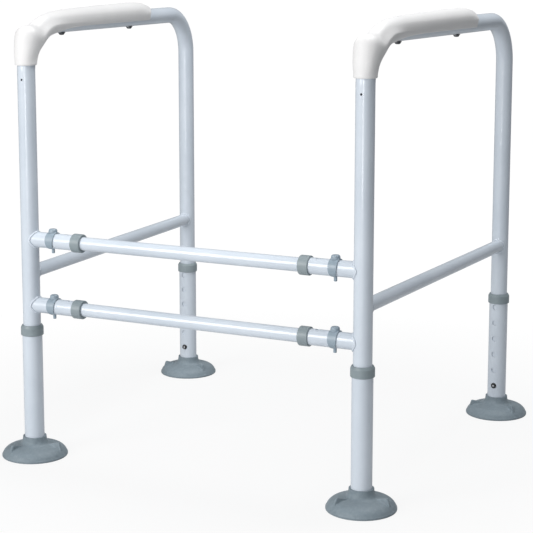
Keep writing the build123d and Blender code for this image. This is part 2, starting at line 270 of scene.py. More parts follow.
def tube(build, at, stations, r_out, r_in, holes=(), n=96, base=0.0, chamfer=0.25, lip=0.35, start=None, stop=None, mat=0, inner=True):
    """A hollow tube along a path, with drilled round holes. holes are (distance, angle, radius); angle 0 is the frame's normal.
    start and stop may give a distance for each angle, where an end is cut to sit on another tube."""
    cols = set(np.round(base + np.linspace(0, 2 * pi, n, endpoint=False), 7))
    rows = set(np.round(stations, 5))
    a_of = {}
    for (t, phi, r) in holes:
        a = r * 1.55
        a_of[(t, phi, r)] = a
        w = a / r_out
        cols = {c for c in cols if abs((c - phi + pi) % (2 * pi) - pi) > w + 0.35 * 2 * pi / n}
        cols |= {round((phi + w * k) % (2 * pi), 7) for k in np.linspace(-1, 1, 9)}
        rows = {q for q in rows if abs(q - t) > a + 0.4} | {round(t + a * k, 5) for k in np.linspace(-1, 1, 9)}
    cols, rows = np.array(sorted(c % (2 * pi) for c in cols)), np.array(sorted(rows))
    t0, t1 = rows[0], rows[-1]
    keep = np.concatenate([[True], np.diff(cols) > 1e-4])
    cols = cols[keep]
    nc = len(cols)

    def point(t, phi, r):
        c, nn, bb, tt = at(t)
        return c + (nn * cos(phi) + bb * sin(phi)) * r * MM

    def inside(t, phi):
        for (ht, hp, hr), a in a_of.items():
            if abs(t - ht) < a - 1e-6 and abs((phi - hp + pi) % (2 * pi) - pi) < a / r_out - 1e-6:
                return True
        return False

    def mids(i, j):
        pa, pb = cols[j], cols[(j + 1) % nc]
        if pb < pa:
            pb += 2 * pi
        return inside((rows[i] + rows[i + 1]) / 2, (pa + pb) / 2)

    def surface(r, lo, hi):
        p = np.zeros((len(rows), nc, 3))
        for i, t in enumerate(rows):
            tt = min(max(t, lo), hi)
            if start is None and stop is None:
                c, nn, bb, _ = at(tt)
                p[i] = c + (np.outer(np.cos(cols), nn) + np.outer(np.sin(cols), bb)) * r * MM
            else:
                for j, phi in enumerate(cols):
                    q = tt
                    if start is not None:
                        q = max(q, start(phi))
                    if stop is not None:
                        q = min(q, stop(phi))
                    p[i, j] = point(q, phi, r)
        return p

    outer = surface(r_out, t0 + (0 if start else lip), t1 - (0 if stop else lip))
    build.grid(outer, wrap=True, mat=mat, skip=mids)
    rim0 = outer[0]
    rim1 = outer[-1]
    if inner:
        innr = surface(r_in, t0 + (0 if start else lip), t1 - (0 if stop else lip))
        build.grid(innr, wrap=True, mat=mat, skip=mids)
        for row, t, cut in ((0, t0, start), (-1, t1, stop)):
            ring = [outer[row]]
            if cut is None:
                sgn = 1 if row == 0 else -1
                for k in (1, 2, 3):
                    th = k / 3 * pi / 2
                    rr = r_out - lip * (1 - cos(th))
                    c, nn, bb, tt = at(t + sgn * lip * (1 - sin(th)))
                    ring.append(c + (np.outer(np.cos(cols), nn) + np.outer(np.sin(cols), bb)) * rr * MM)
                for k in (3, 2, 1):
                    th = k / 3 * pi / 2
                    rr = r_in + lip * (1 - cos(th))
                    c, nn, bb, tt = at(t + sgn * lip * (1 - sin(th)))
                    ring.append(c + (np.outer(np.cos(cols), nn) + np.outer(np.sin(cols), bb)) * rr * MM)
            ring.append(innr[row])
            build.grid(np.array(ring), wrap=True, mat=mat)
    for (ht, hp, hr), a in a_of.items():
        w = a / r_out
        sq = []
        lin = np.linspace(-1, 1, 9)
        sq += [(-1.0, x) for x in lin[:-1]]
        sq += [(x, 1.0) for x in lin[:-1]]
        sq += [(1.0, -x) for x in lin[:-1]]
        sq += [(-x, -1.0) for x in lin[:-1]]
        sq = np.array(sq)
        psi = np.arctan2(sq[:, 1], sq[:, 0])
        circ = np.stack([np.cos(psi), np.sin(psi)], 1)
        rings = []

        def ring_at(radius_tube, hole_r=None, mix=0.0):
            res = []
            for q, c in zip(sq, circ):
                dt, dp = q[0] * a, q[1] * w
                if hole_r is not None:
                    ct, cp = c[0] * hole_r, asin(max(-1, min(1, c[1] * hole_r / radius_tube)))
                    dt, dp = dt + (ct - dt) * mix, dp + (cp - dp) * mix
                res.append(point(ht + dt, hp + dp, radius_tube))
            return np.array(res)
        rings.append(ring_at(r_out))
        rings.append(ring_at(r_out, hr + chamfer, 0.55))
        rings.append(ring_at(r_out, hr + chamfer, 1.0))
        rings.append(ring_at(r_out - chamfer * 0.35, hr + chamfer * 0.3, 1.0))
        rings.append(ring_at(r_out - chamfer, hr, 1.0))
        if inner:
            rings.append(ring_at(r_in, hr, 1.0))
            rings.append(ring_at(r_in, hr, 0.5))
            rings.append(ring_at(r_in))
        else:
            rings.append(ring_at(r_out - 1.2, hr, 1.0))
        build.grid(np.array(rings), wrap=True, mat=mat)


# ------------------------------------------------------------------ materials
def nodes_of(m):
    m.use_nodes = True
    nt = m.node_tree
    nt.nodes.clear()
    out = nt.nodes.new("ShaderNodeOutputMaterial")
    bsdf = nt.nodes.new("ShaderNodeBsdfPrincipled")
    nt.links.new(bsdf.outputs[0], out.inputs[0])
    tc = nt.nodes.new("ShaderNodeTexCoord")
    return nt, bsdf, tc.outputs["Object"]


def noise(nt, vec, scale, detail=3.0, rough=0.55, distortion=0.0):
    n = nt.nodes.new("ShaderNodeTexNoise")
    n.inputs["Scale"].default_value = scale
    n.inputs["Detail"].default_value = detail
    n.inputs["Roughness"].default_value = rough
    n.inputs["Distortion"].default_value = distortion
    nt.links.new(vec, n.inputs["Vector"])
    return n.outputs[0]


def voronoi(nt, vec, scale, feature="F1", smooth=None):
    n = nt.nodes.new("ShaderNodeTexVoronoi")
    n.feature = feature
    n.inputs["Scale"].default_value = scale
    nt.links.new(vec, n.inputs["Vector"])
    return n.outputs[0]


def ramp(nt, fac, stops, interp="LINEAR"):
    n = nt.nodes.new("ShaderNodeValToRGB")
    n.color_ramp.interpolation = interp
    while len(n.color_ramp.elements) < len(stops):
        n.color_ramp.elements.new(0.5)
    for e, (pos, col) in zip(n.color_ramp.elements, stops):
        e.position = pos
        e.color = (*col, 1) if len(col) == 3 else col
    nt.links.new(fac, n.inputs[0])
    return n.outputs[0]


def maprange(nt, fac, a, b, c, d):
    n = nt.nodes.new("ShaderNodeMapRange")
    for i, v in enumerate((a, b, c, d)):
        n.inputs[i + 1].default_value = v
    nt.links.new(fac, n.inputs[0])
    return n.outputs[0]


def math2(nt, op, a, b):
    n = nt.nodes.new("ShaderNodeMath")
    n.operation = op
    for i, v in enumerate((a, b)):
        if isinstance(v, (int, float)):
            n.inputs[i].default_value = v
        else:
            nt.links.new(v, n.inputs[i])
    return n.outputs[0]


def mix(nt, fac, a, b, kind="MIX"):
    n = nt.nodes.new("ShaderNodeMix")
    n.data_type = "RGBA"
    n.blend_type = kind
    for sock, v in ((n.inputs[0], fac), (n.inputs[6], a), (n.inputs[7], b)):
        if isinstance(v, (int, float)):
            sock.default_value = v
        elif isinstance(v, tuple):
            sock.default_value = (*v, 1) if len(v) == 3 else v
        else:
            nt.links.new(v, sock)
    return n.outputs[2]


def bump(nt, height, strength, distance, under=None):
    n = nt.nodes.new("ShaderNodeBump")
    n.inputs["Strength"].default_value = strength
    n.inputs["Distance"].default_value = distance
    nt.links.new(height, n.inputs["Height"])
    if under is not None:
        nt.links.new(under, n.inputs["Normal"])
    return n.outputs[0]


def srgb(r, g, b):
    return tuple(((c / 255 + 0.055) / 1.055) ** 2.4 if c > 10 else c / 255 / 12.92 for c in (r, g, b))


def powder_coat(name, light=(208, 216, 225), dark=(198, 207, 217), rough=(0.28, 0.38), coat=0.55):
    """Sprayed and baked powder on steel tube: even pale colour, faint orange peel, a few specks."""
    m = bpy.data.materials.new(name)
    nt, b, co = nodes_of(m)
    tone = noise(nt, co, 9.0, 3.0, 0.6)
    colour = ramp(nt, tone, [(0.32, srgb(*dark)), (0.68, srgb(*light))])
    grain = noise(nt, co, 2100.0, 2.0, 0.6)
    colour = mix(nt, maprange(nt, grain, 0.35, 0.75, 0.0, 0.22), colour, srgb(*(int(c * 0.93) for c in dark)))
    specks = voronoi(nt, co, 240.0)
    colour = mix(nt, maprange(nt, specks, 0.02, 0.06, 0.30, 0.0), colour, srgb(150, 158, 168))
    nt.links.new(colour, b.inputs["Base Color"])
    peel = noise(nt, co, 420.0, 2.0, 0.5)
    nt.links.new(maprange(nt, noise(nt, co, 60.0, 3.0), 0.3, 0.7, rough[0], rough[1]), b.inputs["Roughness"])
    nt.links.new(bump(nt, peel, 0.07, 0.00020, bump(nt, grain, 0.06, 0.00004)), b.inputs["Normal"])
    b.inputs["Specular IOR Level"].default_value = 0.5
    b.inputs["Coat Weight"].default_value = coat
    b.inputs["Coat Roughness"].default_value = 0.11
    b.inputs["Coat IOR"].default_value = 1.5
    return m


def moulded(name, light, dark, rough, grain_scale=1500.0, grain=0.22, spec=0.45, coat=0.0, tone_scale=24.0, fine=0.00007):
    """Injection moulded plastic: satin skin with a fine spark-eroded grain and a slight flow in the tone."""
    m = bpy.data.materials.new(name)
    nt, b, co = nodes_of(m)
    tone = noise(nt, co, tone_scale, 4.0, 0.6, 0.6)
    colour = ramp(nt, tone, [(0.30, srgb(*dark)), (0.70, srgb(*light))])
    cells = voronoi(nt, co, grain_scale)
    fine_noise = noise(nt, co, grain_scale * 1.7, 2.0, 0.6)
    both = math2(nt, "ADD", math2(nt, "MULTIPLY", cells, 0.6), math2(nt, "MULTIPLY", fine_noise, 0.6))
    colour = mix(nt, maprange(nt, both, 0.25, 0.85, 0.14, 0.0), colour, srgb(*(int(c * 0.78) for c in dark)))
    nt.links.new(colour, b.inputs["Base Color"])
    nt.links.new(maprange(nt, noise(nt, co, 130.0, 3.0), 0.3, 0.7, rough[0], rough[1]), b.inputs["Roughness"])
    wave = noise(nt, co, 55.0, 2.0, 0.5)
    nt.links.new(bump(nt, both, grain, fine, bump(nt, wave, 0.10, 0.0004)), b.inputs["Normal"])
    b.inputs["Specular IOR Level"].default_value = spec
    b.inputs["Coat Weight"].default_value = coat
    b.inputs["Coat Roughness"].default_value = 0.25
    return m


def rubber(name):
    """Grey rubber with a dusty, finely mottled surface and darker pits."""
    m = bpy.data.materials.new(name)
    nt, b, co = nodes_of(m)
    blotch = noise(nt, co, 210.0, 4.0, 0.6, 0.2)
    colour = ramp(nt, blotch, [(0.26, srgb(115, 128, 136)), (0.50, srgb(122, 135, 143)), (0.76, srgb(130, 142, 150))])
    pits = noise(nt, co, 1100.0, 3.0, 0.65)
    colour = mix(nt, maprange(nt, pits, 0.28, 0.44, 0.35, 0.0), colour, srgb(100, 112, 119))
    dust = noise(nt, co, 420.0, 4.0, 0.7, 0.3)
    colour = mix(nt, maprange(nt, dust, 0.56, 0.78, 0.0, 0.30), colour, srgb(154, 165, 171))
    nt.links.new(colour, b.inputs["Base Color"])
    nt.links.new(maprange(nt, dust, 0.3, 0.7, 0.46, 0.66), b.inputs["Roughness"])
    nt.links.new(bump(nt, pits, 0.30, 0.00012, bump(nt, blotch, 0.15, 0.0003)), b.inputs["Normal"])
    b.inputs["Specular IOR Level"].default_value = 0.42
    b.inputs["Sheen Weight"].default_value = 0.12
    b.inputs["Sheen Roughness"].default_value = 0.5
    return m


def steel(name, base=(150, 152, 155), dark=(110, 112, 116), rough=(0.25, 0.42), metal=1.0, scratch=0.25):
    """Bare or plated steel with fine drawing marks."""
    m = bpy.data.materials.new(name)
    nt, b, co = nodes_of(m)
    mp = nt.nodes.new("ShaderNodeMapping")
    mp.inputs["Scale"].default_value = (1.0, 1.0, 14.0)
    nt.links.new(co, mp.inputs["Vector"])
    marks = noise(nt, mp.outputs[0], 480.0, 4.0, 0.6)
    tone = noise(nt, co, 160.0, 3.0, 0.6)
    nt.links.new(mix(nt, 0.4, ramp(nt, tone, [(0.3, srgb(*dark)), (0.7, srgb(*base))]), ramp(nt, marks, [(0.3, srgb(*dark)), (0.7, srgb(*base))])), b.inputs["Base Color"])
    nt.links.new(maprange(nt, marks, 0.3, 0.7, rough[0], rough[1]), b.inputs["Roughness"])
    nt.links.new(bump(nt, marks, scratch, 0.00004), b.inputs["Normal"])
    b.inputs["Metallic"].default_value = metal
    return m


MAT = {
    "powder_coat": powder_coat("powder_coat"),
    "powder_coat_inner": powder_coat("powder_coat_inner", (150, 160, 170), (128, 138, 148), (0.5, 0.6), 0.0),
    "armrest_cover": moulded("armrest_cover", (231, 230, 229), (225, 224, 224), (0.40, 0.50), 1300.0, 0.22, 0.42, 0.0, 14.0, 0.00008),
    "collar_plastic": moulded("collar_plastic", (143, 154, 158), (129, 141, 146), (0.38, 0.50), 1500.0, 0.25, 0.5, 0.08),
    "clip_plastic": moulded("clip_plastic", (150, 165, 176), (138, 153, 165), (0.32, 0.44), 1700.0, 0.18, 0.5, 0.12),
    "plug_plastic": moulded("plug_plastic", (70, 74, 78), (58, 62, 66), (0.45, 0.55), 1500.0, 0.25),
    "foot_rubber": rubber("foot_rubber"),
    # painted shade: near-black stand-in for the shade in the gap round the snap button
    "button_sleeve_painted_shade": moulded("button_sleeve_painted_shade", (34, 35, 37), (22, 23, 25), (0.22, 0.32), 1900.0, 0.12, 0.5, 0.2),
    # painted highlight: bright steel for the centre of the button's dome
    "button_tip_painted_highlight": steel("button_tip_painted_highlight", (214, 216, 220), (180, 182, 188), (0.12, 0.25)),
    "spring_steel": steel("spring_steel", (165, 166, 170), (120, 121, 126), (0.28, 0.45)),
    "screw_zinc": steel("screw_zinc", (120, 122, 124), (70, 72, 75), (0.25, 0.42)),
}


def repaint(node, mat):
    o = CAD[node]
    if not o.material_slots:
        o.data.materials.append(mat)
    for s in o.material_slots:
        s.material = mat
    wn = o.modifiers.new("normals", "WEIGHTED_NORMAL")
    wn.keep_sharp = True


# ------------------------------------------------------------------ side tubes
def rail_path(side):
    """Distance along the side tube's centre line, from the lower end of the front leg, to its place and axes."""
    z0 = bottom_of(f"side_tube_{side}")
    a = RAIL - BEND - z0                    # front leg
    b = a + BEND * pi / 2                   # front bend
    c = b + PITCH - 2 * BEND                # rail
    d = c + BEND * pi / 2                   # rear bend
    e = d + a
    u, w = np.array(ALONG[side]), np.array(OUT[side])
    z = np.array([0, 0, 1.0])
    o = np.array(LEG_AXIS[f"front_{side}"])

    def at(t):
        if t <= a:
            L, h, nl, nz = 0.0, z0 + t, -1.0, 0.0
        elif t <= b:
            th = (t - a) / BEND
            L, h, nl, nz = BEND - BEND * cos(th), RAIL - BEND + BEND * sin(th), -cos(th), sin(th)
        elif t <= c:
            L, h, nl, nz = BEND + t - b, RAIL, 0.0, 1.0
        elif t <= d:
            th = (t - c) / BEND
            L, h, nl, nz = PITCH - BEND + BEND * sin(th), RAIL - BEND + BEND * cos(th), sin(th), cos(th)
        else:
            L, h, nl, nz = PITCH, RAIL - BEND - (t - d), 1.0, 0.0
        n = u * nl + z * nz
        tangent = u * nz - z * nl
        return o + (u * L + z * h) * MM, n, np.cross(tangent, n), tangent
    return at, (z0, a, b, c, d, e)


for side, s in SIDES.items():
    at, (z0, a, b, c, d, e) = rail_path(side)
    drain = 549.0 - z0
    stations = list(np.linspace(0, a, 26)) + list(np.linspace(a, b, 25)) + list(np.linspace(b, c, 22)) + list(np.linspace(c, d, 25)) + list(np.linspace(d, e, 26))
    holes = [(drain, 0.0, 1.5)]
    bld = Build()
    tube(bld, at, stations, TUBE_R, TUBE_R - WALL, holes, n=96, base=0.01)
    v, f, m = bld.out()
    finish_mesh(f"side_tube_{side}_bent", v, f, f"{side}_frame", [f"side_tube_{side}"], mats=[MAT["powder_coat"]])

    # brace
    o0 = LEG_AXIS[f"front_{side}"] + Vector((0, 0, BRACE_Z * MM))
    at = straight(o0, ALONG[side], (0, 0, 1))

    def saddle(r_small, r_big, depth=0.35):
        return lambda phi: sqrt(r_big ** 2 - (r_small * sin(phi)) ** 2) - depth
    first = saddle(9.525, TUBE_R)
    bld = Build()
    rows = np.concatenate([[8.0], np.linspace(14, PITCH - 14, 32), [PITCH - 8.0]])
    tube(bld, at, rows, 9.525, 9.525 - WALL, n=72, start=first, stop=lambda p: PITCH - first(p))
    v, f, m = bld.out()
    finish_mesh(f"side_brace_{side}_bar", v, f, f"{side}_frame", [f"side_brace_{side}"], mats=[MAT["powder_coat"]])

    # crossbar stubs
    inward = Vector((-s, 0, 0))
    for row in ROWS:
        o0 = LEG_AXIS[f"front_{side}"] + Vector((0, 0, STUB_Z[row] * MM))
        at = straight(o0, inward, (0, 0, 1))
        cut = saddle(STUB_R, TUBE_R)
        bld = Build()
        rows = np.concatenate([[5.5, 13.2], np.linspace(18, STUB_END, 12)])
        holes = [(PIN + k * HOLE_PITCH, ph, 2.6) for k in (0, 1) for ph in (0.0, pi)]
        tube(bld, at, rows, STUB_R, STUB_R - WALL, holes, n=80, base=0.01, start=cut)
        v, f, m = bld.out()
        finish_mesh(f"crossbar_stub_{row}_{side}_tube", v, f, f"{side}_frame", [f"crossbar_stub_{row}_{side}"], mats=[MAT["powder_coat"]])


# ------------------------------------------------------------------ weld beads
def weld_bead(build, root, direction, height, r_small, size, ripples, seed):
    """Bead of weld round a tube where it meets a leg, laid down as overlapping ripples."""
    direction = Vector(direction).normalized()
    cross = Vector((0, 0, 1)).cross(direction)
    rng = np.random.RandomState(seed)
    n = ripples * 8
    jitter = rng.uniform(-1, 1, ripples)
    wide = rng.uniform(-1, 1, ripples)
    p = np.zeros((n, 14, 3))
    for i in range(n):
        psi = 2 * pi * i / n
        k = i / 8
        lump = abs(sin(pi * (k % 1.0)))
        j = int(k) % ripples
        rad = size * (0.86 + 0.16 * lump ** 0.6 + 0.05 * wide[j])
        ds, dz = r_small * sin(psi), r_small * cos(psi)
        reach = sqrt(TUBE_R ** 2 - ds ** 2)
        # outward directions of the two tubes at the seam
        n_small = np.array([0.0, sin(psi), cos(psi)])
        n_leg = np.array([reach, ds, 0.0]) / TUBE_R
        centre = np.array([reach, ds, dz]) + (n_small + n_leg) * size * (0.10 + 0.03 * jitter[j])
        t = np.array([-ds * cos(psi) * r_small / max(reach, 1e-6), r_small * cos(psi), -r_small * sin(psi)])
        t /= np.linalg.norm(t)
        e1 = n_small - t * (n_small @ t)
        e1 /= np.linalg.norm(e1)
        e2 = np.cross(t, e1)
        for q in range(14):
            th = 2 * pi * q / 14
            p[i, q] = centre + (e1 * cos(th) + e2 * sin(th)) * rad
    w = in_axes(root + Vector((0, 0, height * MM)), direction, cross, (0, 0, 1), p)
    w = np.concatenate([w, w[:1]])
    build.grid(w, wrap=True)


for side, s in SIDES.items():
    bld = Build()
    weld_bead(bld, LEG_AXIS[f"front_{side}"], ALONG[side], BRACE_Z, 9.525, 1.9, 30, 3 + s)
    weld_bead(bld, LEG_AXIS[f"rear_{side}"], -ALONG[side], BRACE_Z, 9.525, 1.9, 30, 7 + s)
    v, f, m = bld.out()
    finish_mesh(f"brace_welds_{side}_beads", v, f, f"{side}_frame", [f"brace_welds_{side}"], mats=[MAT["powder_coat"]], weighted=False, sharp=80)
    bld = Build()
    for i, row in enumerate(ROWS):
        weld_bead(bld, LEG_AXIS[f"front_{side}"], (-s, 0, 0), STUB_Z[row], STUB_R, 1.8, 34, 11 + s + 5 * i)
    v, f, m = bld.out()
    finish_mesh(f"stub_welds_{side}_beads", v, f, f"{side}_frame", [f"stub_welds_{side}"], mats=[MAT["powder_coat"]], weighted=False, sharp=80)

# ------------------------------------------------------------------ crossbars and their plugs
bar_lo, bar_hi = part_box("crossbar_upper")
BAR_Y = (bar_lo.y + bar_hi.y) / 2
bld_plugs = Build()
for row in ROWS:
    lo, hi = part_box(f"crossbar_{row}")
    zc = (lo.z + hi.z) / 2
    at = straight((lo.x, BAR_Y, zc), (1, 0, 0), (0, 0, 1))
    length = (hi.x - lo.x) / MM
    pin = abs(middle(f"snap_clip_{row}_left").x) / MM
    rows = np.linspace(0, length, 40)
    bld = Build()
    tube(bld, at, rows, BAR_R, BAR_R - WALL, [(length / 2 + k * pin, ph, 2.6) for k in (-1, 1) for ph in (0.0, pi)], n=80, base=0.01)
    v, f, m = bld.out()
    finish_mesh(f"crossbar_{row}_bar", v, f, "crossbars", [f"crossbar_{row}"], mats=[MAT["powder_coat"]])
    for k in (-1, 1):
        prof = rounded([(0, -5.5), (8.25, -5.5), (8.25, 0), (9.2, 0), (9.2, 1.2), (0, 1.2)], [0, 0.4, 0.0, 0.2, 0.35, 0])
        lathe(bld_plugs, ((lo.x if k < 0 else hi.x), BAR_Y, zc), (k, 0, 0), (0, 0, 1), prof, n=64, closed=False)
v, f, m = bld_plugs.out()
finish_mesh("crossbar_plugs_caps", v, f, "crossbars", ["crossbar_plugs"], mats=[MAT["plug_plastic"]])

# ------------------------------------------------------------------ lower legs, collars, feet, washers, buttons
FIN_ANGLES = {"front_left": 8.0, "front_right": -5.0, "rear_left": -22.0, "rear_right": -32.0}


def foot_mesh(name, corner, turn):
    """Rubber foot: the top is one surface over radius and angle, with three fins raised from it; underside has a suction recess."""
    top = top_of(f"rubber_foot_{corner}")
    R = (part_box(f"rubber_foot_{corner}")[1].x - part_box(f"rubber_foot_{corner}")[0].x) / MM / 2
    # dish height against radius, from the neck outward
    pr = np.array([17.0, 17.3, 18.3, 20.6, 25.0, 31.0, 37.0, 41.0, 43.8, 45.6, R - 0.9])
    pz = np.array([top - 0.8, 25.0, 21.4, 18.3, 16.6, 15.3, 13.5, 11.4, 8.9, 6.4, 3.9])

    def dish(r):
        return np.interp(r, prr, pzz)
    # smooth the profile through its points (Catmull-Rom in arc length)
    pts = np.stack([pr, pz], 1)
    ext = np.vstack([2 * pts[0] - pts[1], pts, 2 * pts[-1] - pts[-2]])
    dense = []
    for i in range(1, len(ext) - 2):
        p0, p1, p2, p3 = ext[i - 1:i + 3]
        for t in np.linspace(0, 1, 12, endpoint=False):
            dense.append(0.5 * ((2 * p1) + (-p0 + p2) * t + (2 * p0 - 5 * p1 + 4 * p2 - p3) * t ** 2 + (-p0 + 3 * p1 - 3 * p2 + p3) * t ** 3))
    dense.append(pts[-1])
    dense = np.array(dense)
    prr, pzz = dense[:, 0], dense[:, 1]
    # fin outline: height of the fin's top edge against radius
    fr = np.array([15.5, 24.0, 37.6, 38.8, 39.7, 40.5, 43.4, 44.4])
    fz = np.array([17.4, 17.9, 21.2, 21.1, 20.4, 18.9, 9.2, 5.0])
    radii = np.unique(np.round(np.concatenate([np.linspace(17.0, 20, 10), np.linspace(20, 38, 22), np.linspace(38, 44.4, 26), np.linspace(44.4, R - 0.9, 8)]), 3))
    half = 2.1
    us = np.array([-half - 2.6, -half - 1.7, -half - 1.0, -half - 0.5, -half - 0.2, -half, -half + 0.12, -half + 0.35, -half + 0.8, -0.6, 0.6,
                   half - 0.8, half - 0.35, half - 0.12, half, half + 0.2, half + 0.5, half + 1.0, half + 1.7, half + 2.6])
    cols = []
    for k in range(3):
        c = radians(turn + 120 * k)
        cols += [("fin", c, u) for u in us]
        nfill = 22
        cols += [("gap", c, (j + 1) / (nfill + 1)) for j in range(nfill)]
    nc = len(cols)

    def angle_of(col, r):
        kind, c, q = col
        edge = half + 2.6
        if kind == "fin":
            return c + asin(max(-1, min(1, q / r)))
        a0 = c + asin(edge / r)
        a1 = c + radians(120) - asin(edge / r)
        return a0 + (a1 - a0) * q

    def lift(col, r):
        kind, c, u = col
        base = float(np.interp(r, prr, pzz))
        if kind != "fin":
            return base
        t = float(np.interp(r, fr, fz))
        if t <= base + 0.05:
            return base
        au = abs(u)
        h = t - base
        if au >= half:
            # root fillet, 1.6 mm where the fin is tall enough
            rf = min(2.4, h * 0.8)
            d = (au - half)
            if d >= rf:
                return base
            return base + rf - sqrt(max(0.0, rf ** 2 - (rf - d) ** 2))
        # top edge rounding, 0.8 mm
        rt = min(0.8, h * 0.5)
        d = half - au
        if d >= rt:
            return t
        wall = base + min(2.4, h * 0.8)
        curve = t - rt + sqrt(max(0.0, rt ** 2 - (rt - d) ** 2))
        return max(min(curve, t), base) if d > 0.01 else max(base + min(2.4, h * 0.8), min(t - rt, wall))
    outer = []
    # outside of the socket rim, then the dish, then the rim, the underside, the recess
    neck = rounded([(LEG_R + 0.05, 7.0), (LEG_R + 0.05, top), (17.0, top), (17.0, top - 0.8)], [0, 0.7, 0.9, 0])
    rows = []
    for r, z in neck[:-1]:
        rows.append([(r * cos(angle_of(col, 17.0)), r * sin(angle_of(col, 17.0)), z) for col in cols])
    for r in radii:
        rows.append([(r * cos(angle_of(col, r)), r * sin(angle_of(col, r)), lift(col, r)) for col in cols])
    under = rounded([(R - 0.9, 3.9), (R, 2.8), (R, 0.0), (40.5, 0.0), (37.0, 3.2), (0.0, 3.2)], [0, 0.7, 0.9, 0.6, 2.0, 0])
    for r, z in under[1:-1]:
        rows.append([(r * cos(angle_of(col, 46.0)), r * sin(angle_of(col, 46.0)), z) for col in cols])
    p = np.array(rows)
    w = in_axes(LEG_AXIS[corner], (1, 0, 0), (0, 1, 0), (0, 0, 1), p)
    bld = Build()
    idx = bld.grid(w, wrap=True)
    c0 = bld.add(in_axes(LEG_AXIS[corner], (1, 0, 0), (0, 1, 0), (0, 0, 1), [[0, 0, 3.2], [0, 0, 7.0]]))
    for j in range(nc):
        bld.face((idx[-1, j], idx[-1, (j + 1) % nc], c0[0]))
        bld.face((idx[0, (j + 1) % nc], idx[0, j], c0[1]))
    v, f, m = bld.out()
    return finish_mesh(name, v, f, f"leg_{corner}", [f"rubber_foot_{corner}"], sharp=75, mats=[MAT["foot_rubber"]], weighted=False)


for side, s in SIDES.items():
    for end in ENDS:
        corner = f"{end}_{side}"
        look = ALONG[side] if end == "front" else -ALONG[side]
        base_point = LEG_AXIS[corner]
        # leg tube
        zb, zt = bottom_of(f"lower_leg_{corner}"), top_of(f"lower_leg_{corner}")
        at = straight(base_point + Vector((0, 0, zb * MM)), (0, 0, 1), look)
        bld = Build()
        tube(bld, at, np.linspace(0, zt - zb, 14), LEG_R, LEG_R - WALL, [(BUTTON_Z - zb + k * HOLE_PITCH, 0.0, 4.35) for k in range(6)], n=96, base=0.01)
        v, f, m = bld.out()
        finish_mesh(f"lower_leg_{corner}_tube", v, f, f"leg_{corner}", [f"lower_leg_{corner}"], mats=[MAT["powder_coat"]])
        # collar
        z0c, z1c = bottom_of(f"leg_collar_{corner}"), top_of(f"leg_collar_{corner}")
        prof = rounded([(LEG_R + 0.02, z0c), (LEG_R + 2.0, z0c), (LEG_R + 2.0, z1c - 3.4), (LEG_R + 0.1, z1c), (TUBE_R + 0.35, z1c), (TUBE_R + 0.35, zt), (LEG_R + 0.02, zt)],
                       [0.1, 0.9, 2.2, 0.7, 0.3, 0, 0], 6)
        bld = Build()
        lathe(bld, base_point, (0, 0, 1), look, prof, n=96)
        v, f, m = bld.out()
        finish_mesh(f"leg_collar_{corner}_bush", v, f, f"leg_{corner}", [f"leg_collar_{corner}"], mats=[MAT["collar_plastic"]])
        # foot
        foot_mesh(f"rubber_foot_{corner}_cup", corner, FIN_ANGLES[corner])
        # washer
        zw0, zw1 = bottom_of(f"foot_washer_{corner}"), top_of(f"foot_washer_{corner}")
        bld = Build()
        lathe(bld, base_point, (0, 0, 1), look, rounded([(3.5, zw0), (14.1, zw0), (14.1, zw1), (3.5, zw1)], [0.2, 0.3, 0.3, 0.2], 3), n=64)
        v, f, m = bld.out()
        finish_mesh(f"foot_washer_{corner}_ring", v, f, f"leg_{corner}", [f"foot_washer_{corner}"], mats=[MAT["spring_steel"]])
        # button: sleeve and most of the dome painted black as the shade in the gap round the button, and a bright steel
        # tip as a painted highlight on the dome
        bld = Build()
        prof = rounded([(0, 10.05), (4.0, 10.05), (4.0, 15.5), (2.9, 16.15), (1.9, 16.3), (1.7, 16.0), (1.0, 16.45), (0, 16.5)], [0, 0.2, 1.0, 0.5, 0.15, 0.1, 0.5, 0], 4)
        # faces towards the tip, inside about 1.75 mm radius, take the painted highlight; the rest take the painted
        # shade
        painted_highlight_row = max(i for i in range(len(prof)) if prof[i][0] > 1.75)
        lathe(bld, base_point + Vector((0, 0, BUTTON_Z * MM)), look, (0, 0, 1), prof, n=48, closed=False, mats=[0] * painted_highlight_row + [1] * (len(prof) - painted_highlight_row))
        v, f, m = bld.out()
        finish_mesh(f"snap_button_{corner}_pin", v, f, f"button_{corner}", [f"snap_button_{corner}"], mats=[MAT["button_sleeve_painted_shade"], MAT["button_tip_painted_highlight"]], face_mats=m)
        # spring: the frame's bent leaf with rounded nose, repainted in spring steel
        repaint(f"button_spring_{corner}", MAT["spring_steel"])


# ------------------------------------------------------------------ stub collars
for side, s in SIDES.items():
    for row in ROWS:
        lo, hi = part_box(f"stub_collar_{row}_{side}")
        zc = (lo.z + hi.z) / 2
        outer_x = lo.x if s < 0 else hi.x       # end nearer the leg
        inner_x = hi.x if s < 0 else lo.x
        length = abs(inner_x - outer_x) / MM
        prof = rounded([(STUB_R + 0.02, 0), (STUB_R + 2.2, 0), (STUB_R + 2.2, length), (BAR_R + 0.35, length), (BAR_R + 0.35, length - 3.0), (STUB_R + 0.02, length - 3.0)],
                       [0.1, 1.0, 1.5, 0.5, 0, 0], 6)
        bld = Build()
        lathe(bld, (outer_x, BAR_Y, zc), (-s, 0, 0), (0, 0, 1), prof, n=88)
        v, f, m = bld.out()
        finish_mesh(f"stub_collar_{row}_{side}_bush", v, f, f"{side}_frame", [f"stub_collar_{row}_{side}"], mats=[MAT["collar_plastic"]])


